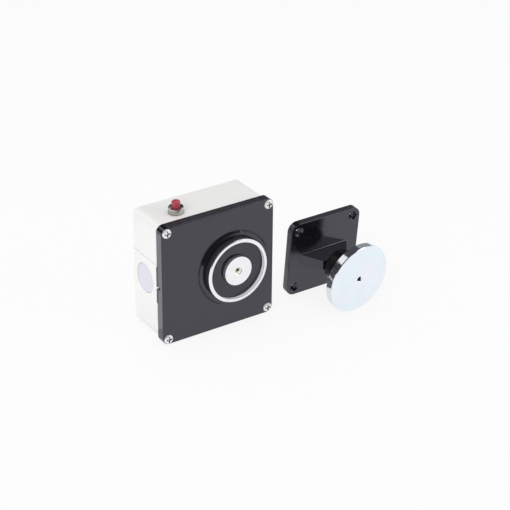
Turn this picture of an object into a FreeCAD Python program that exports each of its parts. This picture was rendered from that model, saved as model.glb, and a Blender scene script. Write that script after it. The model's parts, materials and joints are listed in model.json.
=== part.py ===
import FreeCAD, Part
import math
import os

# Electromagnetic door holder: a wall unit with a pot magnet and a release button, and the door's keeper.
# Millimetres. +X right, -Y out of the wall towards the door, +Z up.
# The origin is the middle of the wall unit's back, and the two units stand on one floor below it.

V = FreeCAD.Vector
ALONG_X = V(1, 0, 0)
ALONG_Y = V(0, 1, 0)
ALONG_Z = V(0, 0, 1)

# Fits
thread_clearance = 0.03
running_clearance = 0.05
part_clearance = 0.25

# Box and cover. The wiring depth is the room behind the magnet's plate, down to the wall
wiring_depth = 14.4
cover_width = 90.0
cover_depth = 7.0
cover_wall = 2.8
cover_corner = 5.0
cover_edge = 0.8
box_side = 87.0
box_wall = 2.6
base_wall = 3.0
box_corner = 4.5
box_edge = 1.2
lip_height = 2.0
lip_wall = 1.4

# Cover screws and the posts that take them
cover_screw_pitch = 81.6
cover_screw_r = 1.75
cover_screw_length = 20.0
cover_head_r = 3.5
cover_head_height = 1.9
head_seat_depth = 0.8
post_r = 4.2

# Wall fixing holes
wall_pitch = 66.0
wall_hole_r = 3.2
wall_boss_r = 5.0
wall_boss_height = 1.5

# Raised pad round the cable entry, and the lifting lip and pry slot of the cover's rim beside it
pad_height = 0.5
pad_low = -17.0
pad_high = 13.5
lift_half = 13.9
lift_depth = 1.5
lift_reach = 0.5
pry_z = -2.0
pry_width = 1.5
pry_length = 4.0
pry_depth = 1.2

# Cable entry and its blanking grommet
entry_y = -16.6
entry_z = -2.8
entry_r = 10.9
grommet_sink = 0.3
grommet_dish = 0.7
grommet_rim = 1.6
grommet_inner_r = 11.2
grommet_inner_length = 1.6
grommet_taper = 0.4
grommet_hollow = 1.2

# Pot magnet
magnet_x = 12.0
pot_r = 23.9
pot_length = 31.15
pot_proud = 6.55
pole_wall = 2.4
pole_chamfer = 0.5
core_r = 10.75
core_mouth_r = 2.9
core_mouth_depth = 1.5
groove_depth = 25.15
potting_thickness = 3.0
potting_sink = 2.8
bobbin_wall = 1.2
bobbin_play = 0.3
winding_gap = 0.6
collar_wall = 2.85
collar_height = 2.1
collar_slope = 1.0
collar_foot = 0.5
sleeve_wall = 2.5

# Sprung ejector pin in the core
ejector_r = 2.0
ejector_proud = 1.5
ejector_guide = 7.0
ejector_shoulder_r = 3.4
ejector_shoulder = 3.0
ejector_spigot_r = 1.7
ejector_spigot = 2.0
spring_bore_r = 3.8
ejector_wire_r = 0.3
ejector_turns = 4

# Steel plate that carries the magnet, and its screws
plate_width = 50.0
plate_thickness = 2.0
plate_corner = 3.0
plate_margin = 5.0
plate_screw_gap = 2.1
plate_screw_r = 1.75
plate_screw_length = 10.0
plate_head_r = 3.0
plate_head_height = 2.0
plate_boss_r = 4.0
magnet_screw_r = 4.0
magnet_screw_bite = 11.5
magnet_head_r = 7.0
magnet_head_height = 4.4
hex_key = 5.0
lock_washer_r = 7.4
lock_washer = 1.8

# Terminal block
terminal_z = -4.5
terminal_width = 10.6
terminal_height = 13.0
pole_count = 3
pole_pitch = 9.0
ear_length = 5.0
ear_height = 5.0
pillar_height = 3.0
clamp_width = 6.0
clamp_height = 7.0
clamp_length = 8.0
clamp_floor = 1.5
wire_bore_r = 1.6
clamp_screw_r = 1.45
clamp_head_r = 2.0
clamp_head_height = 1.6
clamp_slot_depth = 0.8
clamp_slot_half = 0.3
clamp_screw_rise = 3.0
ear_screw_r = 1.4
ear_screw_length = 7.0
ear_head_r = 2.4
ear_head_height = 1.6

# Leads
lead_r = 0.8
lead_bend = 3.0
lead_hole_r = 1.3
lead_gap = 1.3
lead_bite = 1.0

# Release button and its switch
button_y = -22.0
button_travel = 2.5
bushing_r = 4.0
bushing_bore_r = 3.2
bushing_flange_r = 5.6
bushing_flange = 1.2
bushing_rise = 2.5
bushing_chamfer = 0.3
nut_r = 5.4
nut_height = 4.1
nut_cup_r = 4.6
nut_edge = 0.3
nut_collar = 2.0
nut_groove = 0.4
knurl_count = 28
knurl_r = 0.22
washer_r = 5.6
washer_thickness = 0.6
cap_r = 3.1
cap_rise = 6.9
cap_dome = 1.1
cap_flange_r = 4.0
cap_flange = 1.2
stem_r = 1.6
switch_side = 13.0
switch_height = 15.0
switch_floor = 1.5
switch_cavity_r = 5.2
switch_edge = 0.8
bridge_drop = 6.0
bridge_r = 4.4
bridge_thickness = 0.8
stem_tail = 1.5
tab_thickness = 0.8
tab_width = 3.0
tab_inner = 2.3
tab_drop = 3.0
button_wire_r = 0.25
button_spring_r = 2.7
button_turns = 4

# Keeper base and its arm
keeper_x = 94.5
keeper_y = -30.5
base_side = 60.0
base_thickness = 5.0
base_corner = 7.0
base_edge = 0.6
base_hole_pitch = 47.0
base_hole_r = 2.25
base_sink_r = 3.6
arm_root_width = 41.0
arm_root_height = 9.0
arm_width = 20.0
arm_height = 7.4
arm_reach = 14.0
arm_corner = 3.0
arm_fillet = 1.2
arm_drop = 1.0

# Swivel: the arm's tongue in the hub, and the pin through both
pivot_reach = 22.0
tongue_width = 11.0
tongue_height = 5.0
tongue_gap = 0.4
pocket_half = 7.4
pocket_r = 6.2
hub_r = 12.2
hub_length = 18.6
hub_edge = 1.5
hub_flange_r = 21.0
hub_flange = 2.0
hub_flare = 2.5
pin_r = 2.5
pin_top = 8.0
pin_bottom = 11.0
pin_chamfer = 0.4
swivel_washer_r = 5.0
swivel_rest = 4.8

# Keeper disc
disc_reach = 41.8
disc_r = 26.0
disc_thickness = 6.0
disc_chamfer = 0.5
disc_hole_r = 1.8
disc_hole_chamfer = 0.4
disc_hole_depth = 2.5
disc_screw_r = 2.0
disc_screw_end = 0.1
disc_screw_chamfer = 0.4
disc_head_r = 4.0

# Places that several pieces share
unit_depth = pot_length - pot_proud + plate_thickness + wiring_depth
face_y = -unit_depth
joint_y = face_y + cover_depth
box_half = box_side / 2
box_inside = box_side - 2 * box_wall
floor_z = -cover_width / 2
pot_front = face_y - pot_proud
pot_back = pot_front + pot_length
pot_base = pot_length - groove_depth
plate_back = pot_back + plate_thickness
magnet_screw_tip = pot_back - magnet_screw_bite
shoulder_y = pot_front + ejector_guide
pad_x = -box_half - pad_height
ceiling_z = box_half - box_wall
collar_r = pot_r + part_clearance + collar_wall
plate_screw_x = plate_width / 2 - plate_margin
plate_screw_z = math.sqrt((pot_r + plate_screw_gap + plate_head_r) ** 2 - plate_screw_x ** 2)
plate_height = 2 * (plate_screw_z + plate_margin)
winding_inner = core_r + bobbin_play + bobbin_wall
winding_outer = pot_r - pole_wall - bobbin_play - winding_gap
tab_middle = switch_side / 2 + tab_thickness / 2
button_x = magnet_x - plate_width / 2 - lead_gap - lead_r - tab_middle
terminal_x = button_x
switch_top = ceiling_z - bushing_flange
bridge_top = switch_top - bridge_drop
tab_end = switch_top - switch_height - tab_drop
terminal_back = -base_wall - pillar_height
terminal_front = terminal_back - terminal_height
clamp_back = terminal_back - clamp_floor
clamp_front = clamp_back - clamp_height
wire_y = clamp_back - clamp_height / 2 + 1.0
terminal_length = pole_count * pole_pitch + 2 * ear_length
disc_back = -disc_reach + disc_thickness
hub_back = disc_back + hub_length
pocket_floor = -pivot_reach - pocket_r
base_middle = base_side / 2
arm_middle = base_middle - arm_drop


def block(x0, x1, y0, y1, z0, z1):
    """Box between two corners."""
    return Part.makeBox(x1 - x0, y1 - y0, z1 - z0, V(x0, y0, z0))


def rod(radius, start, end):
    """Cylinder from one point to another."""
    reach = end - start
    return Part.makeCylinder(radius, reach.Length, start, reach)


def bar(radius, x, z, y0, y1):
    """Cylinder along Y."""
    return rod(radius, V(x, y0, z), V(x, y1, z))


def slab(width, height, corner, y0, y1, middle_x=0.0, middle_z=0.0):
    """Upright plate whose four edges along Y are rounded."""
    left = middle_x - width / 2
    low = middle_z - height / 2
    plain = block(left, left + width, y0, y1, low, low + height)
    along = [edge for edge in plain.Edges if abs(edge.tangentAt(edge.FirstParameter).y) > 0.9]
    return plain.makeFillet(corner, along)


def edges_where(shape, test):
    """Edges whose end points all pass a test."""
    return [edge for edge in shape.Edges if all(test(vertex.Point) for vertex in edge.Vertexes)]


def rounded_at(shape, y, radius):
    """Round every edge that lies in the plane at y."""
    return shape.makeFillet(radius, edges_where(shape, lambda point: abs(point.y - y) < 1e-6))


def turned(profile, origin, axis):
    """Solid of revolution from (radius, height) points about an axis through the origin."""
    radial = V(axis.y, axis.z, axis.x)
    points = [origin + radial * radius + axis * height for radius, height in profile]
    face = Part.Face(Part.makePolygon(points + points[:1]))
    return face.revolve(origin, axis, 360)


def ring(outer_r, inner_r, thickness, origin, axis):
    """Flat washer."""
    return turned([(inner_r, 0), (outer_r, 0), (outer_r, thickness), (inner_r, thickness)], origin, axis)


def hexagon_corner(across_flats):
    """Radius at the corners of a hexagon."""
    return across_flats / 2 / math.cos(math.pi / 6)


def hexagon(across_flats, z, height):
    """Upright six-sided prism."""
    corner_r = hexagon_corner(across_flats)
    turns = [math.radians(60 * k) for k in range(7)]
    points = [V(corner_r * math.cos(turn), corner_r * math.sin(turn), z) for turn in turns]
    return Part.Face(Part.makePolygon(points)).extrude(V(0, 0, height))


def aim(shape, origin, axis):
    """Stand a shape that was made along +Z on a point, along an axis."""
    shape.Placement = FreeCAD.Placement(origin, FreeCAD.Rotation(ALONG_Z, axis))
    return shape


def four(half_x, half_z, middle_x=0.0):
    """Corner points (x, z) of a rectangle of holes."""
    return [(middle_x + sx * half_x, sz * half_z) for sx in (-1, 1) for sz in (-1, 1)]


def cross_screw(head_r, head_height, shank_r, length, origin, axis):
    """Pan-head screw with a cross recess. The axis points out of its head, whose seat is at the origin."""
    head = Part.makeCylinder(head_r, head_height)
    head = head.makeFillet(0.75 * head_height, edges_where(head, lambda point: point.z > 0.5 * head_height))
    tip = 0.6 * shank_r
    profile = [(0, 0), (shank_r, 0), (shank_r, tip - length), (shank_r - tip, -length), (0, -length)]
    shank = turned(profile, V(), ALONG_Z)
    screw = head.fuse(shank).removeSplitter()
    slot = 0.17 * head_r
    reach = 0.64 * head_r
    deep = 0.3 * head_height
    for half_x, half_y in ((reach, slot), (slot, reach)):
        screw = screw.cut(block(-half_x, half_x, -half_y, half_y, deep, head_height + 1))
    return aim(screw, origin, axis)


def coil_spring(mean_r, wire_r, length, turns, origin, axis):
    """Compression spring between two seats, of half turns that each rise evenly and run into the next."""
    rise = (length - 2 * wire_r) / (2 * turns)
    coils = []
    for k in range(2 * turns):
        x = mean_r if k % 2 == 0 else -mean_r
        low = wire_r + k * rise
        coils.append(Part.Arc(V(x, 0, low), V(0, x, low + rise / 2), V(-x, 0, low + rise)).toShape())
    section = Part.Wire(Part.makeCircle(wire_r, V(mean_r, 0, wire_r), ALONG_Y))
    spring = Part.Wire(coils).makePipeShell([section], True, True)
    return aim(Part.Solid(spring), origin, axis)


def lead(points, bend):
    """Insulated wire along straight runs joined by tangent arcs."""
    edges = []
    start = points[0]
    for before, corner, after in zip(points, points[1:], points[2:]):
        into = (corner - before).normalize()
        out = (after - corner).normalize()
        first = corner - into * bend
        last = corner + out * bend
        middle = corner + (out - into) * bend * (1 - math.sqrt(0.5))
        edges.append(Part.LineSegment(start, first).toShape())
        edges.append(Part.Arc(first, middle, last).toShape())
        start = last
    edges.append(Part.LineSegment(start, points[-1]).toShape())
    section = Part.Wire(Part.makeCircle(lead_r, points[0], points[1] - points[0]))
    return Part.Solid(Part.Wire(edges).makePipeShell([section], True, True))


def teardrop(root_half, root_y, tip_y, tip_r, z0, z1):
    """Plan outline with a straight root and a round tip, joined by tangents, as an upright prism."""
    side = 1 if tip_y > root_y else -1
    run = abs(tip_y - root_y)
    turn = math.atan2(-run, root_half) + math.acos(tip_r / math.hypot(root_half, run))
    touch_x = tip_r * math.cos(turn)
    touch_y = tip_y + side * tip_r * math.sin(turn)
    plan = [(-root_half, root_y), (root_half, root_y), (touch_x, touch_y), (-touch_x, touch_y)]
    corners = [V(x, y, z0) for x, y in plan]
    outline = [
        Part.LineSegment(corners[0], corners[1]).toShape(),
        Part.LineSegment(corners[1], corners[2]).toShape(),
        Part.Arc(corners[2], V(0, tip_y + side * tip_r, z0), corners[3]).toShape(),
        Part.LineSegment(corners[3], corners[0]).toShape(),
    ]
    return Part.Face(Part.Wire(outline)).extrude(V(0, 0, z1 - z0))


def make_back_box():
    """Moulded box: posts for the cover screws, bosses for the magnet plate, pillars for the terminals."""
    outside = rounded_at(slab(box_side, box_side, box_corner, joint_y, 0), 0, box_edge)
    shell = outside.cut(slab(box_inside, box_inside, box_corner - box_wall, joint_y, -base_wall))
    half = cover_screw_pitch / 2
    for x, z in four(half, half):
        shell = shell.fuse(bar(post_r, x, z, joint_y, -base_wall).common(outside))
    for x, z in four(plate_screw_x, plate_screw_z, magnet_x):
        shell = shell.fuse(bar(plate_boss_r, x, z, plate_back, -base_wall))
    for x, z in four(wall_pitch / 2, wall_pitch / 2):
        shell = shell.fuse(bar(wall_boss_r, x, z, -base_wall - wall_boss_height, -base_wall))
    ear_middle = (terminal_length - ear_length) / 2
    for end in (-1, 1):
        z = terminal_z + end * ear_middle
        shell = shell.fuse(bar(ear_length / 2, terminal_x, z, terminal_back, -base_wall))
    shell = shell.removeSplitter()
    for x, z in four(half, half):
        depth = face_y + head_seat_depth + cover_screw_length + 1
        shell = shell.cut(bar(cover_screw_r + thread_clearance, x, z, joint_y, depth))
    for x, z in four(plate_screw_x, plate_screw_z, magnet_x):
        depth = pot_back + plate_screw_length + 0.5
        shell = shell.cut(bar(plate_screw_r + thread_clearance, x, z, plate_back, depth))
    for x, z in four(wall_pitch / 2, wall_pitch / 2):
        shell = shell.cut(bar(wall_hole_r, x, z, joint_y, 0))
    for end in (-1, 1):
        z = terminal_z + end * ear_middle
        depth = terminal_back - ear_height + ear_screw_length + 0.4
        shell = shell.cut(bar(ear_screw_r + thread_clearance, terminal_x, z, terminal_back, depth))
    shell = shell.fuse(block(pad_x, -box_half + box_wall / 2, joint_y, -box_edge, pad_low, pad_high))
    shell = shell.removeSplitter()
    shell = shell.cut(rod(entry_r, V(pad_x, entry_y, entry_z), V(-box_inside / 2, entry_y, entry_z)))
    top = V(button_x, button_y, box_half)
    return shell.cut(rod(bushing_r + part_clearance, V(button_x, button_y, ceiling_z), top))


def make_cover():
    """Gloss cover: flat front, rim with a locating lip, and a collar and sleeve round the magnet."""
    outside = rounded_at(slab(cover_width, cover_width, cover_corner, face_y, joint_y), face_y, cover_edge)
    lip_outside = box_inside - 2 * part_clearance
    lip_inside = lip_outside - 2 * lip_wall
    lip_corner = box_corner - box_wall
    mouth = slab(lip_inside, lip_inside, lip_corner, face_y + cover_wall, joint_y)
    cover = outside.cut(mouth)
    lip = slab(lip_outside, lip_outside, lip_corner, joint_y, joint_y + lip_height)
    lip = lip.cut(slab(lip_inside, lip_inside, lip_corner, joint_y, joint_y + lip_height))
    half = cover_screw_pitch / 2
    for x, z in four(half, half):
        lip = lip.cut(bar(post_r + part_clearance, x, z, joint_y, joint_y + lip_height))
        cover = cover.fuse(bar(post_r, x, z, face_y + cover_wall, joint_y).common(outside))
    cover = cover.fuse(lip)
    bore_r = pot_r + part_clearance
    sleeve_front = V(magnet_x, face_y + cover_wall, 0)
    cover = cover.fuse(rod(bore_r + sleeve_wall, sleeve_front, V(magnet_x, joint_y, 0)))
    collar_front = face_y - collar_height
    profile = [
        (0, 0),
        (collar_r + collar_slope, 0),
        (collar_r + collar_slope, collar_foot),
        (collar_r, collar_height),
        (0, collar_height),
    ]
    collar = turned(profile, V(magnet_x, face_y, 0), -ALONG_Y)
    cover = cover.fuse(collar).removeSplitter()
    cover = cover.cut(bar(bore_r, magnet_x, 0, collar_front, joint_y))
    for x, z in four(half, half):
        cover = cover.cut(bar(cover_screw_r + part_clearance, x, z, face_y, joint_y))
        cover = cover.cut(bar(cover_head_r + part_clearance, x, z, face_y, face_y + head_seat_depth))
    side = -cover_width / 2
    root = side + lift_reach
    corners = [
        V(root, joint_y - lift_depth, -lift_half),
        V(side, joint_y - lift_depth, -lift_half),
        V(side - lift_reach, joint_y, -lift_half),
        V(root, joint_y, -lift_half),
    ]
    wedge = Part.Face(Part.makePolygon(corners + corners[:1]))
    cover = cover.fuse(wedge.extrude(V(0, 0, 2 * lift_half))).removeSplitter()
    low = pry_z - pry_width / 2
    slot = block(side - lift_reach, side + pry_depth, joint_y - pry_length, joint_y, low, low + pry_width)
    return cover.cut(slot)


def make_cover_screws():
    half = cover_screw_pitch / 2
    seat = face_y + head_seat_depth
    size = (cover_head_r, cover_head_height, cover_screw_r, cover_screw_length)
    return Part.makeCompound([cross_screw(*size, V(x, seat, z), -ALONG_Y) for x, z in four(half, half)])


def make_cable_grommet():
    """Blanking plug pushed in from inside: a dished face in the side's hole, and a flange behind the wall."""
    wall_inside = -box_wall - pad_height
    body_r = entry_r - part_clearance
    inner_end = wall_inside - grommet_inner_length
    dish = -grommet_sink - grommet_dish
    profile = [
        (0, inner_end + grommet_hollow),
        (body_r - grommet_rim, inner_end + grommet_hollow),
        (body_r - grommet_rim, inner_end),
        (grommet_inner_r - grommet_taper, inner_end),
        (grommet_inner_r, wall_inside),
        (body_r, wall_inside),
        (body_r, -grommet_sink),
        (body_r - grommet_rim, -grommet_sink),
        (0.6 * body_r, 0.7 * dish - 0.3 * grommet_sink),
        (0.3 * body_r, 0.93 * dish - 0.07 * grommet_sink),
        (0, dish),
    ]
    return turned(profile, V(pad_x, entry_y, entry_z), -ALONG_X)


def lead_places():
    """Where the coil's leads leave the middle of the winding, level with the last two terminal poles."""
    middle_r = (winding_inner + winding_outer) / 2
    return [(magnet_x - math.sqrt(middle_r ** 2 - z ** 2), z) for z in pole_places()[1:]]


def lead_holes(start_y, end_y):
    """Ways for the coil's two leads."""
    return [bar(lead_hole_r, x, z, start_y, end_y) for x, z in lead_places()]


def make_magnet_pot():
    """Turned steel pot: pole ring, coil groove, and a core bored for the ejector and the fixing screw."""
    groove_r = pot_r - pole_wall
    thread_r = magnet_screw_r + thread_clearance
    profile = [
        (core_mouth_r, 0),
        (core_r, 0),
        (core_r, groove_depth),
        (groove_r, groove_depth),
        (groove_r, 0),
        (pot_r - pole_chamfer, 0),
        (pot_r, pole_chamfer),
        (pot_r, pot_length),
        (thread_r, pot_length),
        (thread_r, pot_length - magnet_screw_bite),
        (spring_bore_r, pot_length - magnet_screw_bite),
        (spring_bore_r, ejector_guide),
        (ejector_r + running_clearance, ejector_guide),
        (ejector_r + running_clearance, core_mouth_depth),
        (core_mouth_r, core_mouth_depth),
    ]
    pot = turned(profile, V(magnet_x, pot_front, 0), ALONG_Y)
    for hole in lead_holes(pot_back - pot_base, pot_back):
        pot = pot.cut(hole)
    return pot


def make_potting_ring():
    front = V(magnet_x, pot_front + potting_sink, 0)
    return ring(pot_r - pole_wall, core_r, potting_thickness, front, ALONG_Y)


def bobbin_length():
    """Room between the resin and the bottom of the groove."""
    return groove_depth - potting_sink - potting_thickness


def make_coil_bobbin():
    """Spool on the core. Its back flange is open where the leads leave."""
    inner = core_r + bobbin_play
    outer = pot_r - pole_wall - bobbin_play
    length = bobbin_length()
    profile = [
        (inner, 0),
        (outer, 0),
        (outer, bobbin_wall),
        (inner + bobbin_wall, bobbin_wall),
        (inner + bobbin_wall, length - bobbin_wall),
        (outer, length - bobbin_wall),
        (outer, length),
        (inner, length),
    ]
    bobbin = turned(profile, V(magnet_x, pot_back - pot_base - length, 0), ALONG_Y)
    for hole in lead_holes(pot_back - pot_base - bobbin_wall, pot_back - pot_base):
        bobbin = bobbin.cut(hole)
    return bobbin


def make_coil_winding():
    length = bobbin_length() - 2 * bobbin_wall
    start = V(magnet_x, pot_back - pot_base - bobbin_wall - length, 0)
    return ring(winding_outer, winding_inner, length, start, ALONG_Y)


def make_ejector_pin():
    """Brass pin, domed at its tip, whose shoulder stops against the step in the core."""
    tip = -ejector_proud
    back = ejector_guide + ejector_shoulder
    profile = [
        (0, tip),
        (0.55 * ejector_r, tip + 0.1 * ejector_r),
        (0.9 * ejector_r, tip + 0.4 * ejector_r),
        (ejector_r, tip + 0.8 * ejector_r),
        (ejector_r, ejector_guide),
        (ejector_shoulder_r, ejector_guide),
        (ejector_shoulder_r, back),
        (ejector_spigot_r, back),
        (ejector_spigot_r, back + ejector_spigot),
        (0, back + ejector_spigot),
    ]
    return turned(profile, V(magnet_x, pot_front, 0), ALONG_Y)


def make_ejector_spring():
    start = shoulder_y + ejector_shoulder
    mean_r = ejector_spigot_r + 0.5 * (spring_bore_r - ejector_spigot_r)
    length = magnet_screw_tip - start
    return coil_spring(mean_r, ejector_wire_r, length, ejector_turns, V(magnet_x, start, 0), ALONG_Y)


def make_magnet_plate():
    plate = slab(plate_width, plate_height, plate_corner, pot_back, plate_back, magnet_x)
    holes = [bar(magnet_screw_r + part_clearance, magnet_x, 0, pot_back, plate_back)]
    for x, z in four(plate_screw_x, plate_screw_z, magnet_x):
        holes.append(bar(plate_screw_r + part_clearance, x, z, pot_back, plate_back))
    for hole in holes + lead_holes(pot_back, plate_back):
        plate = plate.cut(hole)
    return plate


def make_magnet_lock_washer():
    seat = V(magnet_x, plate_back, 0)
    return ring(lock_washer_r, magnet_screw_r + part_clearance, lock_washer, seat, ALONG_Y)


def make_magnet_screw():
    """Button-head screw from behind. Its end is also the seat of the ejector's spring."""
    seat = V(magnet_x, plate_back + lock_washer, 0)
    head = Part.makeCylinder(magnet_head_r, magnet_head_height)
    head = head.makeFillet(0.6 * magnet_head_height, edges_where(head, lambda point: point.z > 0.5))
    head = head.cut(hexagon(hex_key, 0.4 * magnet_head_height, magnet_head_height))
    shank = rod(magnet_screw_r, V(), V(0, 0, magnet_screw_tip - seat.y))
    return aim(head.fuse(shank).removeSplitter(), seat, ALONG_Y)


def make_plate_screws():
    size = (plate_head_r, plate_head_height, plate_screw_r, plate_screw_length)
    places = four(plate_screw_x, plate_screw_z, magnet_x)
    return Part.makeCompound([cross_screw(*size, V(x, pot_back, z), -ALONG_Y) for x, z in places])


def pole_places():
    """Heights of the terminal block's poles, from the top down."""
    return [terminal_z + ((pole_count - 1) / 2 - k) * pole_pitch for k in range(pole_count)]


def make_terminal_block():
    """Moulded strip with a through slot for each clamp, a screw well in front of it, and two low ears."""
    half = terminal_length / 2
    x0 = terminal_x - terminal_width / 2
    x1 = terminal_x + terminal_width / 2
    strip_half = half - ear_length
    strip = block(x0, x1, terminal_front, terminal_back, terminal_z - strip_half, terminal_z + strip_half)
    ears = block(x0, x1, terminal_back - ear_height, terminal_back, terminal_z - half, terminal_z + half)
    body = strip.fuse(ears).removeSplitter()
    slot_half = clamp_width / 2 + running_clearance
    slot_front = clamp_front - 2 * running_clearance
    for z in pole_places():
        body = body.cut(block(x0, x1, slot_front, clamp_back, z - slot_half, z + slot_half))
        body = body.cut(bar(clamp_head_r + part_clearance, terminal_x, z, terminal_front, slot_front))
    for end in (-1, 1):
        z = terminal_z + end * (half - ear_length / 2)
        hole = bar(ear_screw_r + part_clearance, terminal_x, z, terminal_front, terminal_back)
        body = body.cut(hole)
    return body


def make_terminal_clamps():
    clamps = []
    x0 = terminal_x - clamp_length / 2
    x1 = terminal_x + clamp_length / 2
    for z in pole_places():
        clamp = block(x0, x1, clamp_front, clamp_back, z - clamp_width / 2, z + clamp_width / 2)
        clamp = clamp.cut(rod(wire_bore_r, V(x0, wire_y, z), V(x1, wire_y, z)))
        thread = bar(clamp_screw_r + thread_clearance, terminal_x, z, clamp_front, wire_y)
        clamps.append(clamp.cut(thread))
    return Part.makeCompound(clamps)


def make_terminal_screws():
    """Slotted clamp screws, run down onto the leads."""
    screws = []
    tip = wire_y - lead_r
    head_y = clamp_front - clamp_screw_rise
    for z in pole_places():
        shank = bar(clamp_screw_r, terminal_x, z, tip, head_y)
        head = bar(clamp_head_r, terminal_x, z, head_y + clamp_head_height, head_y)
        x0 = terminal_x - clamp_head_r
        slot_back = head_y + clamp_slot_depth
        z0 = z - clamp_slot_half
        slot = block(x0, x0 + 2 * clamp_head_r, head_y, slot_back, z0, z0 + 2 * clamp_slot_half)
        screws.append(shank.fuse(head).removeSplitter().cut(slot))
    return Part.makeCompound(screws)


def make_terminal_fixings():
    size = (ear_head_r, ear_head_height, ear_screw_r, ear_screw_length)
    seat = terminal_back - ear_height
    ear_middle = (terminal_length - ear_length) / 2
    places = [terminal_z + end * ear_middle for end in (-1, 1)]
    return Part.makeCompound([cross_screw(*size, V(terminal_x, seat, z), -ALONG_Y) for z in places])


def make_button_bushing():
    """Threaded bush: a flange under the box's top wall and a tube up through it."""
    top = bushing_flange + box_wall + bushing_rise
    profile = [
        (bushing_bore_r, 0),
        (bushing_flange_r, 0),
        (bushing_flange_r, bushing_flange),
        (bushing_r, bushing_flange),
        (bushing_r, top - bushing_chamfer),
        (bushing_r - bushing_chamfer, top),
        (bushing_bore_r, top),
    ]
    return turned(profile, V(button_x, button_y, switch_top), ALONG_Z)


def make_button_washer():
    seat = V(button_x, button_y, box_half)
    return ring(washer_r, bushing_r + part_clearance, washer_thickness, seat, ALONG_Z)


def make_button_nut():
    """Round nut: a knurled lower band on the thread, a groove, and an open cup round the plunger."""
    thread_r = bushing_r + thread_clearance
    thread_top = bushing_rise - washer_thickness
    profile = [
        (thread_r, 0),
        (nut_r - nut_edge, 0),
        (nut_r, nut_edge),
        (nut_r, nut_collar - nut_groove),
        (nut_r - nut_groove, nut_collar - nut_groove),
        (nut_r - nut_groove, nut_collar),
        (nut_r, nut_collar),
        (nut_r, nut_height - nut_edge),
        (nut_r - nut_edge, nut_height),
        (nut_cup_r, nut_height),
        (nut_cup_r, thread_top),
        (thread_r, thread_top),
    ]
    nut = turned(profile, V(), ALONG_Z)
    for k in range(knurl_count):
        turn = 2 * math.pi * k / knurl_count
        foot = V(nut_r * math.cos(turn), nut_r * math.sin(turn), 0)
        nut = nut.cut(rod(knurl_r, foot, foot + ALONG_Z * (nut_collar - nut_groove)))
    return aim(nut, V(button_x, button_y, box_half + washer_thickness), ALONG_Z)


def make_button_cap():
    """Red plunger: a domed top, a flange that stops under the bush, and the contact bridge's stem."""
    top = box_half + bushing_rise + cap_rise - switch_top
    bridge = bridge_top - switch_top
    tail = bridge - bridge_thickness - stem_tail
    profile = [
        (0, tail),
        (stem_r, tail),
        (stem_r, -cap_flange),
        (cap_flange_r, -cap_flange),
        (cap_flange_r, 0),
        (cap_r, 0),
        (cap_r, top - cap_dome),
        (0.88 * cap_r, top - 0.5 * cap_dome),
        (0.62 * cap_r, top - 0.16 * cap_dome),
        (0.3 * cap_r, top - 0.03 * cap_dome),
        (0, top),
    ]
    return turned(profile, V(button_x, button_y, switch_top), ALONG_Z)


def make_switch_body():
    """Moulded body under the bush, open at its top, with a slot in each side for a contact."""
    half = switch_side / 2
    low = switch_top - switch_height
    body = block(button_x - half, button_x + half, button_y - half, button_y + half, low, switch_top)
    upright = [edge for edge in body.Edges if abs(edge.tangentAt(edge.FirstParameter).z) > 0.9]
    body = body.makeFillet(switch_edge, upright)
    floor = V(button_x, button_y, low + switch_floor)
    body = body.cut(rod(switch_cavity_r, floor, V(button_x, button_y, switch_top)))
    slot_half = tab_width / 2 + running_clearance
    slot_low = bridge_top - running_clearance
    slot_high = bridge_top + tab_thickness + running_clearance
    y0 = button_y - slot_half
    slot = block(button_x - half, button_x + half, y0, y0 + 2 * slot_half, slot_low, slot_high)
    return body.cut(slot)


def make_switch_contacts():
    """Two bent strips: the inner ends lie on the bridge, the outer ends are solder tabs."""
    contacts = []
    outer = switch_side / 2 + tab_thickness
    y0 = button_y - tab_width / 2
    y1 = button_y + tab_width / 2
    for side in (-1, 1):
        ends = sorted((button_x + side * tab_inner, button_x + side * outer))
        arm = block(ends[0], ends[1], y0, y1, bridge_top, bridge_top + tab_thickness)
        ends = sorted((button_x + side * switch_side / 2, button_x + side * outer))
        tab = block(ends[0], ends[1], y0, y1, tab_end, bridge_top)
        contacts.append(arm.fuse(tab).removeSplitter())
    return Part.makeCompound(contacts)


def make_contact_bridge():
    """Brass ring on the stem that joins the contacts until the button is pressed."""
    low = V(button_x, button_y, bridge_top - bridge_thickness)
    return ring(bridge_r, stem_r + thread_clearance, bridge_thickness, low, ALONG_Z)


def make_button_spring():
    floor = switch_top - switch_height + switch_floor
    length = bridge_top - bridge_thickness - floor
    seat = V(button_x, button_y, floor)
    return coil_spring(button_spring_r, button_wire_r, length, button_turns, seat, ALONG_Z)


def make_coil_leads():
    """From the winding out through the back of the pot and its plate, then left into the terminals."""
    leads = []
    start = pot_back - pot_base - bobbin_wall
    for x, z in lead_places():
        end = V(terminal_x + lead_bite, wire_y, z)
        leads.append(lead([V(x, start, z), V(x, wire_y, z), end], lead_bend))
    return Part.makeCompound(leads)


def make_switch_leads():
    """From each solder tab down and back into the first two terminals, one from each side."""
    leads = []
    for side, z in zip((1, -1), pole_places()):
        x = button_x + side * tab_middle
        end = V(terminal_x + side * lead_bite, wire_y, z)
        points = [V(x, button_y, tab_end), V(x, button_y, z), V(x, wire_y, z), end]
        leads.append(lead(points, lead_bend))
    return Part.makeCompound(leads)


def keeper_lean():
    """Angle at which the keeper unit, standing on its base's front edge, rests on the rim of its disc."""
    turn = math.radians(swivel_rest)
    reach = pivot_reach + (disc_reach - pivot_reach) * math.cos(turn)
    return math.degrees(math.atan2(base_middle - disc_r, reach))


def stand(shape):
    """Stand a piece of the keeper, made upright with its foot at the origin, beside the wall unit."""
    shape.rotate(V(), ALONG_X, keeper_lean())
    shape.translate(V(keeper_x, keeper_y, floor_z))
    return shape


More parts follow.
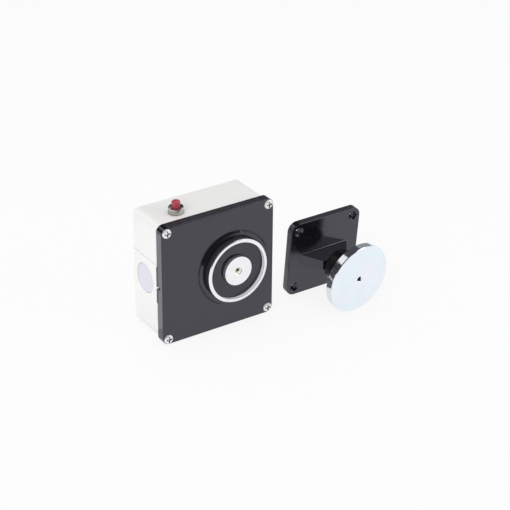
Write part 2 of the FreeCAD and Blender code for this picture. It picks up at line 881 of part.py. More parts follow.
def swivelled(shape):
    """Turn a piece that the disc carries about the upright pivot, as it rests."""
    shape.rotate(V(0, -pivot_reach, 0), ALONG_Z, swivel_rest)
    return stand(shape)


def arm_outline():
    """The arm in plan: wide at the base, tapering to a front with rounded corners."""
    root = arm_root_width / 2
    front = arm_width / 2
    low = arm_middle - arm_root_height / 2
    points = [V(-root, 0, low), V(-front, -arm_reach, low), V(front, -arm_reach, low), V(root, 0, low)]
    arm = Part.Face(Part.makePolygon(points + points[:1])).extrude(V(0, 0, arm_root_height))
    corners = [edge for edge in edges_where(arm, lambda point: abs(point.y + arm_reach) < 1e-6)
               if abs(edge.tangentAt(edge.FirstParameter).z) > 0.9]
    return arm.makeFillet(arm_corner, corners)


def make_keeper_base():
    """Square base with countersunk corner holes, a tapered arm, and the tongue that goes into the hub."""
    base = slab(base_side, base_side, base_corner, 0, base_thickness, 0, base_middle)
    base = rounded_at(base, 0, base_edge)
    root_z = arm_root_height / 2
    front_z = arm_height / 2
    side_view = [(0, root_z), (-arm_reach, front_z), (-arm_reach, -front_z), (0, -root_z)]
    points = [V(-arm_root_width / 2, y, arm_middle + z) for y, z in side_view]
    side = Part.Face(Part.makePolygon(points + points[:1])).extrude(V(arm_root_width, 0, 0))
    whole = base.fuse(arm_outline().common(side)).removeSplitter()
    root = edges_where(whole, lambda point: abs(point.y) < 1e-6 and abs(point.x) < arm_root_width / 2 + 0.1
                       and abs(point.z - arm_middle) < root_z + 0.1)
    whole = whole.makeFillet(arm_fillet, root)
    low = base_middle - tongue_height / 2
    high = base_middle + tongue_height / 2
    half = tongue_width / 2
    tongue = block(-half, half, -pivot_reach, -arm_reach, low, high)
    tongue = tongue.fuse(rod(half, V(0, -pivot_reach, low), V(0, -pivot_reach, high)))
    whole = whole.fuse(tongue).removeSplitter()
    whole = whole.cut(rod(pin_r + running_clearance, V(0, -pivot_reach, low), V(0, -pivot_reach, high)))
    half = base_hole_pitch / 2
    for x, z in four(half, half):
        profile = [
            (0, 0),
            (base_sink_r, 0),
            (base_hole_r, base_sink_r - base_hole_r),
            (base_hole_r, base_thickness),
            (0, base_thickness),
        ]
        whole = whole.cut(turned(profile, V(x, 0, base_middle + z), ALONG_Y))
    return stand(whole)


def make_keeper_hub():
    """Round hub behind the disc: its flange, a pocket for the tongue and a blind bore for the pin."""
    profile = [
        (0, disc_back),
        (hub_flange_r, disc_back),
        (hub_flange_r, disc_back + hub_flange),
        (hub_r, disc_back + hub_flange + hub_flare),
        (hub_r, hub_back),
        (0, hub_back),
    ]
    hub = rounded_at(turned(profile, V(0, 0, base_middle), ALONG_Y), hub_back, hub_edge)
    low = base_middle - tongue_height / 2 - tongue_gap
    high = base_middle + tongue_height / 2 + tongue_gap
    hub = hub.cut(teardrop(pocket_half, hub_back, -pivot_reach, pocket_r, low, high))
    hub = hub.cut(rod(pin_r + thread_clearance, V(0, -pivot_reach, base_middle - hub_r - 1),
                      V(0, -pivot_reach, base_middle + pin_top)))
    sink = disc_head_r - disc_screw_r
    profile = [
        (0, disc_back),
        (disc_screw_r + part_clearance, disc_back),
        (disc_screw_r + part_clearance, pocket_floor - sink + part_clearance),
        (disc_head_r, pocket_floor),
        (0, pocket_floor),
    ]
    return swivelled(hub.cut(turned(profile, V(0, 0, base_middle), ALONG_Y)))


def make_keeper_disc():
    """Steel disc, bevelled round both faces, with a small stepped hole in its middle."""
    thread_r = disc_screw_r + thread_clearance
    profile = [
        (disc_hole_r + disc_hole_chamfer, 0),
        (disc_r - disc_chamfer, 0),
        (disc_r, disc_chamfer),
        (disc_r, disc_thickness - disc_chamfer),
        (disc_r - disc_chamfer, disc_thickness),
        (thread_r, disc_thickness),
        (thread_r, disc_hole_depth),
        (disc_hole_r, disc_hole_depth),
        (disc_hole_r, disc_hole_chamfer),
    ]
    return swivelled(turned(profile, V(0, -disc_reach, base_middle), ALONG_Y))


def make_disc_screw():
    """Countersunk screw from the bottom of the hub's pocket into the disc."""
    tip = -disc_reach + disc_hole_depth + disc_screw_end
    sink = disc_head_r - disc_screw_r
    profile = [
        (0, tip),
        (disc_screw_r - disc_screw_chamfer, tip),
        (disc_screw_r, tip + disc_screw_chamfer),
        (disc_screw_r, pocket_floor - sink),
        (disc_head_r, pocket_floor),
        (0, pocket_floor),
    ]
    screw = turned(profile, V(0, 0, base_middle), ALONG_Y)
    reach = 0.55 * disc_head_r
    slot = 0.14 * disc_head_r
    deep = pocket_floor - 0.6 * sink
    for half_x, half_z in ((reach, slot), (slot, reach)):
        low = base_middle - half_z
        screw = screw.cut(block(-half_x, half_x, deep, pocket_floor, low, low + 2 * half_z))
    return swivelled(screw)


def make_swivel_pin():
    """Plain pin, pressed up into the hub through the tongue."""
    profile = [
        (0, -pin_bottom),
        (pin_r - pin_chamfer, -pin_bottom),
        (pin_r, pin_chamfer - pin_bottom),
        (pin_r, pin_top - pin_chamfer),
        (pin_r - pin_chamfer, pin_top),
        (0, pin_top),
    ]
    return swivelled(turned(profile, V(0, -pivot_reach, base_middle), ALONG_Z))


def make_swivel_washers():
    """Thin washers that fill the gaps between the tongue and the pocket."""
    washers = []
    for low in (base_middle + tongue_height / 2, base_middle - tongue_height / 2 - tongue_gap):
        place = V(0, -pivot_reach, low)
        washers.append(ring(swivel_washer_r, pin_r + running_clearance, tongue_gap, place, ALONG_Z))
    return stand(Part.makeCompound(washers))


PIECES = {
    "back_box": make_back_box,
    "cover": make_cover,
    "cover_screws": make_cover_screws,
    "cable_grommet": make_cable_grommet,
    "magnet_pot": make_magnet_pot,
    "potting_ring": make_potting_ring,
    "coil_bobbin": make_coil_bobbin,
    "coil_winding": make_coil_winding,
    "ejector_pin": make_ejector_pin,
    "ejector_spring": make_ejector_spring,
    "magnet_plate": make_magnet_plate,
    "magnet_lock_washer": make_magnet_lock_washer,
    "magnet_screw": make_magnet_screw,
    "plate_screws": make_plate_screws,
    "terminal_block": make_terminal_block,
    "terminal_clamps": make_terminal_clamps,
    "terminal_screws": make_terminal_screws,
    "terminal_fixings": make_terminal_fixings,
    "button_bushing": make_button_bushing,
    "button_washer": make_button_washer,
    "button_nut": make_button_nut,
    "button_cap": make_button_cap,
    "switch_body": make_switch_body,
    "switch_contacts": make_switch_contacts,
    "contact_bridge": make_contact_bridge,
    "button_spring": make_button_spring,
    "coil_leads": make_coil_leads,
    "switch_leads": make_switch_leads,
    "keeper_base": make_keeper_base,
    "keeper_hub": make_keeper_hub,
    "keeper_disc": make_keeper_disc,
    "disc_screw": make_disc_screw,
    "swivel_pin": make_swivel_pin,
    "swivel_washers": make_swivel_washers,
}

os.makedirs("parts", exist_ok=True)
for node, make in PIECES.items():
    make().exportStep("parts/" + node + ".step")
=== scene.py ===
import json
import math

import bpy
from mathutils import Matrix, Vector


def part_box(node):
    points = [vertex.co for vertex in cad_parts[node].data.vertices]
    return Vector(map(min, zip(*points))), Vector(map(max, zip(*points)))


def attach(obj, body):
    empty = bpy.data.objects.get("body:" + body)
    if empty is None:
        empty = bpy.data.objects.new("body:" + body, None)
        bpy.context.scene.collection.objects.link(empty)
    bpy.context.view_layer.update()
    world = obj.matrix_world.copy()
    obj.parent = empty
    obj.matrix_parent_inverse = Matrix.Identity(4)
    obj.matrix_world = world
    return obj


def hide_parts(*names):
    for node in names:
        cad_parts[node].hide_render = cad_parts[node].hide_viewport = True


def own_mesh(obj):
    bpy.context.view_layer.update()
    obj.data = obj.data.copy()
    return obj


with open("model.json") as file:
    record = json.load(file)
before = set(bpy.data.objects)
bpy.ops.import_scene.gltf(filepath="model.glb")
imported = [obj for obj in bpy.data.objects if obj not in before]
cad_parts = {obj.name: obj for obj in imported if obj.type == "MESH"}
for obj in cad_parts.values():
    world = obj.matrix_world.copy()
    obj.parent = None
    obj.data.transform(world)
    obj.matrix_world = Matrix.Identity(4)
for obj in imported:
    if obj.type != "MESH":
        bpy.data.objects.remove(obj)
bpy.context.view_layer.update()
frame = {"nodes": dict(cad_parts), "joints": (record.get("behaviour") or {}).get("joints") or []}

NODES = frame["nodes"]
JOINTS = {joint["name"]: joint for joint in frame["joints"]}
MM = 0.001
FLOOR_Z = -45 * MM
UP = Vector((0, 0, 1))
FORWARD = Vector((0, 1, 0))

# Range that noise mostly keeps to
NOISE_LOW, NOISE_HIGH = 0.3, 0.7
# Width of the change from one finish of a metal to the next
FINISH_FADE = 0.2 * MM


def middle_of(node):
    """Middle of a CAD node's box."""
    low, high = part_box(node)
    return (low + high) / 2


# Axes that the turned and wound surfaces run about
MAGNET_MIDDLE = middle_of("magnet_pot")
BUTTON_MIDDLE = middle_of("button_nut")
SWIVEL_PLACE = Vector(JOINTS["keeper_swivel"]["pos_m"])
SWIVEL_AXIS = Vector(JOINTS["keeper_swivel"]["axis"]).normalized()
DISC_MIDDLE = middle_of("keeper_disc")
DISC_REACH = DISC_MIDDLE - SWIVEL_PLACE
DISC_AXIS = (DISC_REACH - SWIVEL_AXIS * DISC_REACH.dot(SWIVEL_AXIS)).normalized()


def add_node(tree, kind, links=None, **values):
    """New shader node, with its settings, and with a link or a value on each input that is named."""
    made = tree.nodes.new(kind)
    for name, value in values.items():
        setattr(made, name, value)
    for socket, value in (links or {}).items():
        if isinstance(value, bpy.types.NodeSocket):
            tree.links.new(value, made.inputs[socket])
        else:
            made.inputs[socket].default_value = value
    return made


class Look:
    """A procedural material: a Principled shader and the nodes that feed it, in metres of the frame."""

    def __init__(self, name, **sockets):
        self.material = bpy.data.materials.new(name)
        self.material.use_nodes = True
        self.tree = self.material.node_tree
        self.shader = self.tree.nodes["Principled BSDF"]
        for socket, value in sockets.items():
            self.shader.inputs[socket.replace("_", " ")].default_value = value
        self.place = self.node("ShaderNodeTexCoord").outputs["Object"]
        self.bumped = None

    def node(self, kind, links=None, **values):
        return add_node(self.tree, kind, links, **values)

    def feed(self, socket, value):
        """Link a value to one of the shader's sockets."""
        self.tree.links.new(value, self.shader.inputs[socket])

    def fed(self, socket):
        """What one of the shader's sockets is linked to."""
        return self.shader.inputs[socket].links[0].from_socket

    def math(self, operation, first, second=0.0):
        return self.node("ShaderNodeMath", {0: first, 1: second}, operation=operation).outputs[0]

    def vector_math(self, operation, first, second=(0, 0, 0)):
        return self.node("ShaderNodeVectorMath", {0: first, 1: second}, operation=operation)

    def spread(self, value, low, high, start=0.0, end=1.0):
        """Map a value from one range to another."""
        links = {"Value": value, "From Min": start, "From Max": end, "To Min": low, "To Max": high}
        return self.node("ShaderNodeMapRange", links).outputs[0]

    def full(self, noise):
        """Noise stretched to the whole way from 0 to 1."""
        return self.spread(noise, 0, 1, NOISE_LOW, NOISE_HIGH)

    def past(self, distance, edge):
        """1 beyond an edge, 0 before it."""
        return self.spread(distance, 0, 1, edge, edge + FINISH_FADE)

    def band(self, distance, start, end):
        """1 between two edges, 0 outside them."""
        before_end = self.spread(distance, 1, 0, end, end + FINISH_FADE)
        return self.math("MULTIPLY", self.past(distance, start), before_end)

    def noise(self, size, detail, roughness=0.5, stretch=None):
        """Noise whose features are about that many metres across."""
        place = self.place
        if stretch:
            place = self.vector_math("MULTIPLY", place, stretch).outputs[0]
        links = {"Vector": place, "Scale": 1 / size, "Detail": detail, "Roughness": roughness}
        return self.node("ShaderNodeTexNoise", links).outputs["Fac"]

    def specks(self, size, share, core=0.1, rim=0.3):
        """Round specks that cover about that share of the cells of a grid."""
        cells = self.node("ShaderNodeTexVoronoi", {"Vector": self.place, "Scale": 1 / size})
        chance = self.node("ShaderNodeSeparateColor", {0: cells.outputs["Color"]}).outputs[0]
        picked = self.math("LESS_THAN", chance, share)
        near = self.spread(cells.outputs["Distance"], 1, 0, core, rim)
        return self.math("MULTIPLY", picked, near)

    def arm(self, middle):
        """Way from a point."""
        return self.vector_math("SUBTRACT", self.place, tuple(middle)).outputs[0]

    def radius(self, middle, axis):
        """Distance from an axis."""
        across = self.vector_math("CROSS_PRODUCT", self.arm(middle), tuple(axis)).outputs[0]
        return self.vector_math("LENGTH", across).outputs["Value"]

    def along(self, middle, axis):
        """Distance along an axis."""
        return self.vector_math("DOT_PRODUCT", self.arm(middle), tuple(axis)).outputs["Value"]

    def rings(self, distance, pitch, detail):
        """Noise of one distance only, so that it draws rings or lines."""
        links = {"W": distance, "Scale": 1 / pitch, "Detail": detail}
        return self.node("ShaderNodeTexNoise", links, noise_dimensions="1D").outputs["Fac"]

    def crevice(self, reach, start, end):
        """1 in narrow recesses, 0 on open surfaces."""
        hidden = self.node("ShaderNodeAmbientOcclusion", {"Distance": reach}, samples=8)
        return self.spread(hidden.outputs["AO"], 1, 0, start, end)

    def tint(self, base, value, second):
        """Base colour that goes over to another one by a value."""
        mix = self.node("ShaderNodeMix", {0: value, 6: base, 7: (*second, 1)}, data_type="RGBA")
        self.feed("Base Color", mix.outputs[2])
        return mix.outputs[2]

    def colour(self, value, first, second):
        """Base colour between two colours."""
        return self.tint((*first, 1), value, second)

    def blend_metal(self, value, low, high):
        """Metal that goes from one share to another by a value."""
        self.feed("Metallic", self.spread(value, low, high))

    def over(self, mask, tone, rough):
        """Another tone and roughness where a mask is 1."""
        self.tint(self.fed("Base Color"), mask, tone)
        mix = self.node("ShaderNodeMix", {0: mask, 2: self.fed("Roughness"), 3: rough})
        self.feed("Roughness", mix.outputs[0])

    def rough(self, noise, low, high):
        """Roughness that drifts with a noise."""
        self.feed("Roughness", self.spread(noise, low, high, NOISE_LOW, NOISE_HIGH))

    def relief(self, value, height):
        """Add a bump of that height in metres."""
        links = {"Height": value, "Distance": height, "Strength": 1.0}
        if self.bumped:
            links["Normal"] = self.bumped
        self.bumped = self.node("ShaderNodeBump", links).outputs[0]
        self.feed("Normal", self.bumped)


def dress(look, *nodes):
    """Give CAD nodes a material."""
    for name in nodes:
        mesh = NODES[name].data
        mesh.materials.clear()
        mesh.materials.append(look.material)


def shade(tone, share):
    """A tone darkened to that share of itself."""
    return [share * part for part in tone]


def moulded(name, pale, deep, rough, grain, wave, ior=1.5, **sockets):
    """Moulded plastic: slow drift of colour and gloss, a fine grain, and shallow sink waves."""
    look = Look(name, IOR=ior, **sockets)
    drift = look.noise(size=18 * MM, detail=3.0)
    base = look.colour(look.full(drift), pale, deep)
    flecks = look.specks(size=1.6 * MM, share=0.05)
    fleck_strength = 0.35
    look.tint(base, look.math("MULTIPLY", flecks, fleck_strength), shade(deep, 0.6))
    look.rough(look.noise(size=4 * MM, detail=4.0), low=rough - 0.05, high=rough + 0.06)
    look.relief(look.noise(size=24 * MM, detail=1.0), wave)
    look.relief(look.noise(size=0.35 * MM, detail=2.0), grain)
    return look


def turned(name, pale, deep, middle, axis, rough, groove):
    """Turned and plated metal: fine concentric tool marks and a cloudy surface."""
    look = Look(name, Metallic=1.0)
    marks = look.rings(look.radius(middle, axis), pitch=0.22 * MM, detail=2.0)
    cloud = look.noise(size=7 * MM, detail=4.0)
    base = look.colour(look.full(cloud), pale, deep)
    look.tint(base, look.spread(marks, low=0, high=0.22, start=0.45, end=0.75), shade(deep, 0.72))
    cloud_share, marks_share = 0.6, 0.4
    cloudy = look.math("MULTIPLY", cloud, cloud_share)
    marked = look.math("MULTIPLY", marks, marks_share)
    look.rough(look.math("ADD", cloudy, marked), low=rough - 0.06, high=rough + 0.08)
    look.relief(marks, groove)
    return look


def plated(name, pale, deep, rough, recess_shade_reach=None, metal=1.0):
    """Small plated hardware: cloudy plating, fine scratches, and painted shade in recesses where a reach for
    it is given.
    """
    look = Look(name, Metallic=metal)
    cloud = look.noise(size=1.8 * MM, detail=4.0)
    base = look.colour(look.full(cloud), pale, deep)
    scratch = look.noise(size=0.25 * MM, detail=3.0, roughness=0.7, stretch=(1.0, 6.0, 1.0))
    base = look.tint(base, look.spread(scratch, low=0, high=0.3, start=0.55, end=0.8), shade(deep, 0.6))
    if recess_shade_reach:
        # Painted shade: recesses that ambient occlusion finds are darkened
        look.tint(base, look.crevice(recess_shade_reach, start=0.35, end=0.62), shade(deep, 0.12))
    look.rough(cloud, low=rough - 0.06, high=rough + 0.08)
    look.relief(scratch, height=0.004 * MM)
    return look


# Wall unit's mouldings
white = moulded("white_abs", (0.90, 0.895, 0.885), (0.875, 0.87, 0.86),
                rough=0.36, grain=0.004 * MM, wave=0.03 * MM)
dress(white, "back_box")

GLOSS_TINT = (0.86, 0.84, 1.0, 1.0)
GLOSS = {"ior": 1.72, "Specular_Tint": GLOSS_TINT}
black = moulded("black_gloss", (0.007, 0.007, 0.009), (0.010, 0.010, 0.013),
                rough=0.12, grain=0.0005 * MM, wave=0.05 * MM, **GLOSS)
dress(black, "cover")

grommet = moulded("lilac_rubber", (0.76, 0.75, 0.84), (0.73, 0.72, 0.82),
                  rough=0.5, grain=0.006 * MM, wave=0.02 * MM)
dress(grommet, "cable_grommet")

# Magnet: bright pole faces, a pale inner wall of the pole ring, and dark sides of the core and the pot
pot = turned("pole_steel", (0.93, 0.94, 0.96), (0.89, 0.90, 0.92), MAGNET_MIDDLE, FORWARD,
             rough=0.2, groove=0.006 * MM)
pot_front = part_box("magnet_pot")[0]
pot_reach = pot.radius(MAGNET_MIDDLE, FORWARD)
pot_depth = pot.along(pot_front, FORWARD)

MOUTH_INNER, MOUTH_OUTER, MOUTH_DEPTH = 20 * MM, 21.6 * MM, 0.1 * MM
CORE_INNER, CORE_OUTER, CORE_DEPTH = 10.2 * MM, 11.2 * MM, 0.15 * MM
SIDE_RADIUS, SIDE_DEPTH = 23.5 * MM, 0.4 * MM
mouth = pot.math("MULTIPLY", pot.band(pot_reach, MOUTH_INNER, MOUTH_OUTER), pot.past(pot_depth, MOUTH_DEPTH))
core_side = pot.math("MULTIPLY", pot.band(pot_reach, CORE_INNER, CORE_OUTER), pot.past(pot_depth, CORE_DEPTH))
pot_side = pot.math("MULTIPLY", pot.past(pot_reach, SIDE_RADIUS), pot.past(pot_depth, SIDE_DEPTH))
# Bands that lose their metal: the pole ring's inner wall goes pale, the core's side dark grey, and the pot's
# side wall near-black
non_metal_bands = pot.math("MAXIMUM", pot_side, pot.math("MAXIMUM", mouth, core_side))
pot.blend_metal(non_metal_bands, low=1.0, high=0.05)
pot.over(pot_side, tone=(0.036, 0.036, 0.041), rough=0.32)
pot.over(mouth, tone=(0.94, 0.965, 1.0), rough=0.4)
pot.over(core_side, tone=(0.16, 0.16, 0.17), rough=0.4)
dress(pot, "magnet_pot")

resin = moulded("potting_resin", (0.009, 0.009, 0.011), (0.014, 0.014, 0.016),
                rough=0.16, grain=0.001 * MM, wave=0.10 * MM, ior=1.63, Specular_Tint=GLOSS_TINT)
dress(resin, "potting_ring")

brass = turned("turned_brass", (0.95, 0.91, 0.73), (0.88, 0.83, 0.64), MAGNET_MIDDLE, FORWARD,
               rough=0.22, groove=0.006 * MM)
dress(brass, "ejector_pin")

# Screws and the button
# The screws' cross recesses get painted shade
screws = plated("zinc_screw", (0.90, 0.91, 0.93), (0.82, 0.83, 0.85), rough=0.34, recess_shade_reach=1.6 * MM, metal=0.5)
dress(screws, "cover_screws", "plate_screws", "terminal_fixings")

blued = plated("blued_screw", (0.035, 0.035, 0.04), (0.02, 0.02, 0.024), rough=0.35)
dress(blued, "disc_screw", "button_bushing")

nickel = turned("button_nickel", (0.70, 0.67, 0.65), (0.58, 0.555, 0.54), BUTTON_MIDDLE, UP,
                rough=0.24, groove=0.008 * MM)
dress(nickel, "button_nut", "button_washer")

red = moulded("red_cap", (0.45, 0.075, 0.100), (0.40, 0.060, 0.082),
              rough=0.2, grain=0.002 * MM, wave=0.01 * MM)
dress(red, "button_cap")

# Keeper
keeper_black = moulded("keeper_black", (0.007, 0.007, 0.009), (0.011, 0.011, 0.013),
                       rough=0.13, grain=0.0006 * MM, wave=0.09 * MM, **GLOSS)
dress(keeper_black, "keeper_base")

hub_black = moulded("hub_black", (0.006, 0.006, 0.007), (0.009, 0.009, 0.010),
                    rough=0.24, grain=0.001 * MM, wave=0.02 * MM, ior=1.22)
dress(hub_black, "keeper_hub")

# Disc: faint lilac and blue-green clouds of passivated zinc, and a smoother edge
disc = turned("disc_zinc", (0.875, 0.93, 0.99), (0.845, 0.905, 0.97), DISC_MIDDLE, DISC_AXIS,
              rough=0.16, groove=0.004 * MM)
passivate = disc.noise(size=14 * MM, detail=2.0)
lilac_cloud = disc.spread(passivate, low=0, high=0.8, start=0.52, end=0.68)
lilac = disc.tint(disc.fed("Base Color"), lilac_cloud, (0.90, 0.895, 0.985))
green_cloud = disc.spread(passivate, low=0.7, high=0, start=0.34, end=0.48)
disc.tint(lilac, green_cloud, (0.80, 0.93, 0.975))
DISC_EDGE_RADIUS = 25.7 * MM
disc_edge = disc.past(disc.radius(DISC_MIDDLE, DISC_AXIS), DISC_EDGE_RADIUS)
disc.over(disc_edge, tone=(0.74, 0.765, 0.80), rough=0.09)
disc.blend_metal(disc_edge, low=1.0, high=0.95)
dress(disc, "keeper_disc")

pin = turned("pin_steel", (0.72, 0.73, 0.75), (0.60, 0.61, 0.63), SWIVEL_PLACE, SWIVEL_AXIS,
             rough=0.28, groove=0.006 * MM)
dress(pin, "swivel_pin", "magnet_screw", "magnet_lock_washer")

nylon = moulded("nylon_washer", (0.74, 0.72, 0.66), (0.70, 0.68, 0.62),
                rough=0.5, grain=0.004 * MM, wave=0.01 * MM)
dress(nylon, "swivel_washers")

# Inside the box
plate = plated("zinc_plate", (0.70, 0.72, 0.75), (0.55, 0.57, 0.60), rough=0.34)
dress(plate, "magnet_plate")

spring = plated("spring_wire", (0.62, 0.62, 0.63), (0.48, 0.48, 0.49), rough=0.26)
dress(spring, "ejector_spring", "button_spring")


def sprung(node):
    """A copy of a spring's coil, in place of its CAD node, on the units body."""
    coil = bpy.data.objects.new(node + "_coil", NODES[node].data.copy())
    bpy.context.scene.collection.objects.link(coil)
    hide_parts(node)
    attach(coil, "units")
    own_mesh(coil)


sprung("button_spring")
sprung("ejector_spring")

contact = plated("contact_brass", (0.80, 0.60, 0.30), (0.68, 0.48, 0.20), rough=0.28)
dress(contact, "switch_contacts", "contact_bridge", "terminal_clamps", "terminal_screws")

bobbin = moulded("bobbin_nylon", (0.62, 0.58, 0.48), (0.56, 0.52, 0.42),
                 rough=0.45, grain=0.004 * MM, wave=0.02 * MM)
dress(bobbin, "coil_bobbin")

strip = moulded("terminal_nylon", (0.76, 0.75, 0.70), (0.70, 0.69, 0.64),
                rough=0.42, grain=0.004 * MM, wave=0.02 * MM)
dress(strip, "terminal_block")

switch = moulded("switch_phenolic", (0.020, 0.018, 0.017), (0.030, 0.027, 0.025),
                 rough=0.4, grain=0.004 * MM, wave=0.02 * MM)
dress(switch, "switch_body")


def wound(name, pitch):
    """Enamelled copper laid in rows of turns, with painted shade in the grooves between turns."""
    look = Look(name, Metallic=1.0, Coat_Weight=0.4)
    turn_angle = look.math("MULTIPLY", look.along(MAGNET_MIDDLE, FORWARD), 2 * math.pi / pitch)
    row = look.math("SINE", turn_angle)
    tone = look.noise(size=3 * MM, detail=3.0)
    base = look.colour(look.full(tone), (0.62, 0.22, 0.09), (0.48, 0.15, 0.05))
    # Painted shade: darker in the grooves between turns
    look.tint(base, look.spread(row, low=0.5, high=0, start=-1, end=0.2), (0.16, 0.04, 0.02))
    look.rough(tone, low=0.22, high=0.36)
    look.relief(row, height=0.08 * MM)
    return look


copper = wound("wound_copper", pitch=0.35 * MM)
dress(copper, "coil_winding")

red_wire = moulded("red_pvc", (0.46, 0.020, 0.018), (0.38, 0.014, 0.014),
                   rough=0.42, grain=0.004 * MM, wave=0.01 * MM)
dress(red_wire, "coil_leads")

black_wire = moulded("black_pvc", (0.016, 0.016, 0.017), (0.024, 0.024, 0.025),
                     rough=0.42, grain=0.004 * MM, wave=0.01 * MM)
dress(black_wire, "switch_leads")


# Floor and surroundings
def upright(left, right, y, low, high):
    """Corners of a rectangle that stands across the front."""
    return [(left, y, low), (right, y, low), (right, y, high), (left, y, high)]


def sideways(x, front, back, low, high):
    """Corners of a rectangle that stands along a side."""
    return [(x, front, low), (x, back, low), (x, back, high), (x, front, high)]


def level(left, right, front, back, z):
    """Corners of a rectangle that lies level."""
    return [(left, front, z), (right, front, z), (right, back, z), (left, back, z)]


def sheet(name, corners):
    """Flat four-cornered object."""
    mesh = bpy.data.meshes.new(name)
    mesh.from_pydata(corners, [], [(0, 1, 2, 3)])
    made = bpy.data.objects.new(name, mesh)
    bpy.context.scene.collection.objects.link(made)
    return made


def seen_rays(tree):
    """1 for rays that the camera, a gloss or a clear surface sends, 0 for those that only light."""
    path = add_node(tree, "ShaderNodeLightPath").outputs
    seen = path["Is Camera Ray"]
    for ray in ("Is Glossy Ray", "Is Transmission Ray"):
        seen = add_node(tree, "ShaderNodeMath", {0: seen, 1: path[ray]}, operation="MAXIMUM").outputs[0]
    return seen


FLOOR_HALF = 6.0
FLOOR_PAINT = (0.88, 0.88, 0.88, 1)
FLOOR_GLOW = 0.86
WORLD_FILL = 0.62
WHITE = (1, 1, 1, 1)

floor = sheet("studio_floor", level(-FLOOR_HALF, FLOOR_HALF, -FLOOR_HALF, FLOOR_HALF, FLOOR_Z))

floor_material = bpy.data.materials.new("studio_floor")
floor_material.use_nodes = True
tree = floor_material.node_tree
tree.nodes.clear()
paint = add_node(tree, "ShaderNodeBsdfDiffuse", {"Color": FLOOR_PAINT}).outputs[0]
glow = add_node(tree, "ShaderNodeEmission", {"Color": WHITE, "Strength": 1.0}).outputs[0]
share = add_node(tree, "ShaderNodeMath", {0: seen_rays(tree), 1: FLOOR_GLOW}, operation="MULTIPLY").outputs[0]
blend = add_node(tree, "ShaderNodeMixShader", {0: share, 1: paint, 2: glow}).outputs[0]
add_node(tree, "ShaderNodeOutputMaterial", {"Surface": blend})
floor.data.materials.append(floor_material)

world = bpy.data.worlds.new("studio")
world.use_nodes = True
tree = world.node_tree
tree.nodes.clear()
strength = {"Value": seen_rays(tree), "To Min": WORLD_FILL, "To Max": 1.0}
strength = add_node(tree, "ShaderNodeMapRange", strength).outputs[0]
sky = add_node(tree, "ShaderNodeBackground", {"Color": WHITE, "Strength": strength}).outputs[0]
add_node(tree, "ShaderNodeOutputWorld", {"Surface": sky})
bpy.context.scene.world = world


def flag(name, corners, tone):
    """Card that only gloss mirrors, as one wall of a photographer's tent."""
    card = sheet(name, corners)
    material = bpy.data.materials.new(name)
    material.use_nodes = True
    shader = material.node_tree.nodes["Principled BSDF"]
    shader.inputs["Base Color"].default_value = (0, 0, 0, 1)
    shader.inputs["Specular IOR Level"].default_value = 0.0
    shader.inputs["Emission Color"].default_value = (*tone, 1)
    shader.inputs["Emission Strength"].default_value = 1.0
    card.data.materials.append(material)
    for ray in ("camera", "diffuse", "transmission", "volume_scatter", "shadow"):
        setattr(card, "visible_" + ray, False)


DARK = (0.03, 0.033, 0.042)
GREY = (0.30, 0.31, 0.33)
SHELF_GREY = (0.31, 0.315, 0.34)
ROOF_GLOW = (2.6, 2.6, 2.8)
WINDOW_GLOW = (1.1, 1.1, 1.1)
REFLECTOR_GLOW = (1.5, 1.5, 1.5)

# The tent's walls and its ceiling
TENT_LEFT, TENT_FRONT, TENT_BACK, TENT_TOP = -2.2, -1.6, 1.4, 2.6
BACK_FOOT, FRONT_FOOT = 0.12, 0.1
BACK_END, SIDE_END, FRONT_END, CEILING_END = 1.24, 1.9, 1.0, 2.4
flag("back_card", upright(TENT_LEFT, BACK_END, TENT_BACK, BACK_FOOT, TENT_TOP), DARK)
flag("ceiling_card", level(TENT_LEFT, CEILING_END, TENT_FRONT, TENT_BACK, TENT_TOP), DARK)
flag("side_card", upright(BACK_END, SIDE_END, TENT_BACK, BACK_FOOT, TENT_TOP), GREY)
flag("front_card", upright(TENT_LEFT, FRONT_END, TENT_FRONT, FRONT_FOOT, TENT_TOP), DARK)
flag("left_card", sideways(TENT_LEFT, TENT_FRONT, TENT_BACK, FRONT_FOOT, TENT_TOP), DARK)

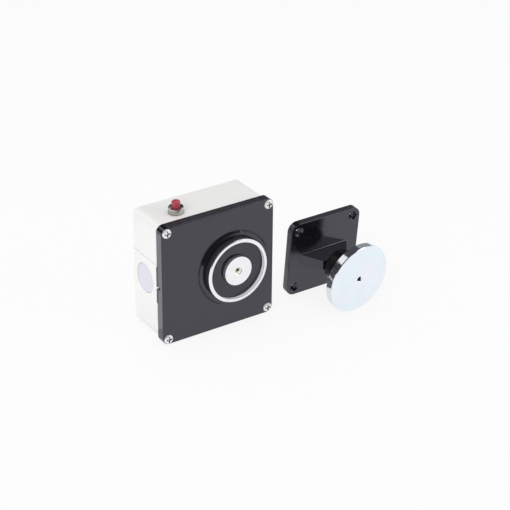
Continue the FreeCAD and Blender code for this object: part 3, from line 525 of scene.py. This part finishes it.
# Smaller cards, each for a highlight in the gloss
SHELF_Y, REFLECTOR_Z, ROOF_Z, WINDOW_Y = 1.39, FLOOR_Z + 0.0001, 1.7, 0.58
flag("shelf_card", upright(left=0.78, right=1.08, y=SHELF_Y, low=0.86, high=1.08), SHELF_GREY)
flag("reflector_card", level(left=-0.17, right=-0.047, front=-0.02, back=0.13, z=REFLECTOR_Z), REFLECTOR_GLOW)
flag("roof_card", level(left=0.72, right=1.22, front=-0.10, back=0.48, z=ROOF_Z), ROOF_GLOW)
flag("window_card", upright(left=-0.72, right=-0.20, y=WINDOW_Y, low=0.40, high=1.15), WINDOW_GLOW)

# Lamps
AIM = Vector((30, -30, 0)) * MM


def softbox(name, place, side, power, mirrored):
    """Square area lamp that faces the object."""
    lamp = bpy.data.lights.new(name, "AREA")
    lamp.shape = "RECTANGLE"
    lamp.size = lamp.size_y = side
    lamp.energy = power
    made = bpy.data.objects.new(name, lamp)
    made.location = place
    made.rotation_euler = (AIM - Vector(place)).to_track_quat("-Z", "Y").to_euler()
    made.visible_glossy = mirrored
    bpy.context.scene.collection.objects.link(made)


softbox("key", place=(-1.3, -0.9, 0.9), side=0.8, power=10.5, mirrored=False)
softbox("fill", place=(1.2, -1.4, 0.7), side=0.9, power=4.0, mirrored=True)
softbox("top", place=(0.1, 0.1, 1.7), side=1.0, power=6.0, mirrored=False)

# Camera, for a square picture
LENS = 119.51
SENSOR = 36.0
CAMERA_PLACE = Vector((-0.54736, -0.90012, 0.56262))
CAMERA_RIGHT = Vector((0.83244, -0.55405, 0.00817))
CAMERA_UP = Vector((0.25706, 0.39920, 0.88008))
CAMERA_BACK = Vector((-0.49087, -0.73052, 0.47474))

camera_data = bpy.data.cameras.new("camera")
camera_data.lens = LENS
camera_data.sensor_width = SENSOR
camera = bpy.data.objects.new("camera", camera_data)
turn = Matrix((CAMERA_RIGHT, CAMERA_UP, CAMERA_BACK)).transposed().to_4x4()
camera.matrix_world = Matrix.Translation(CAMERA_PLACE) @ turn
bpy.context.scene.collection.objects.link(camera)
bpy.context.scene.camera = camera
bpy.context.scene.view_settings.view_transform = "Standard"
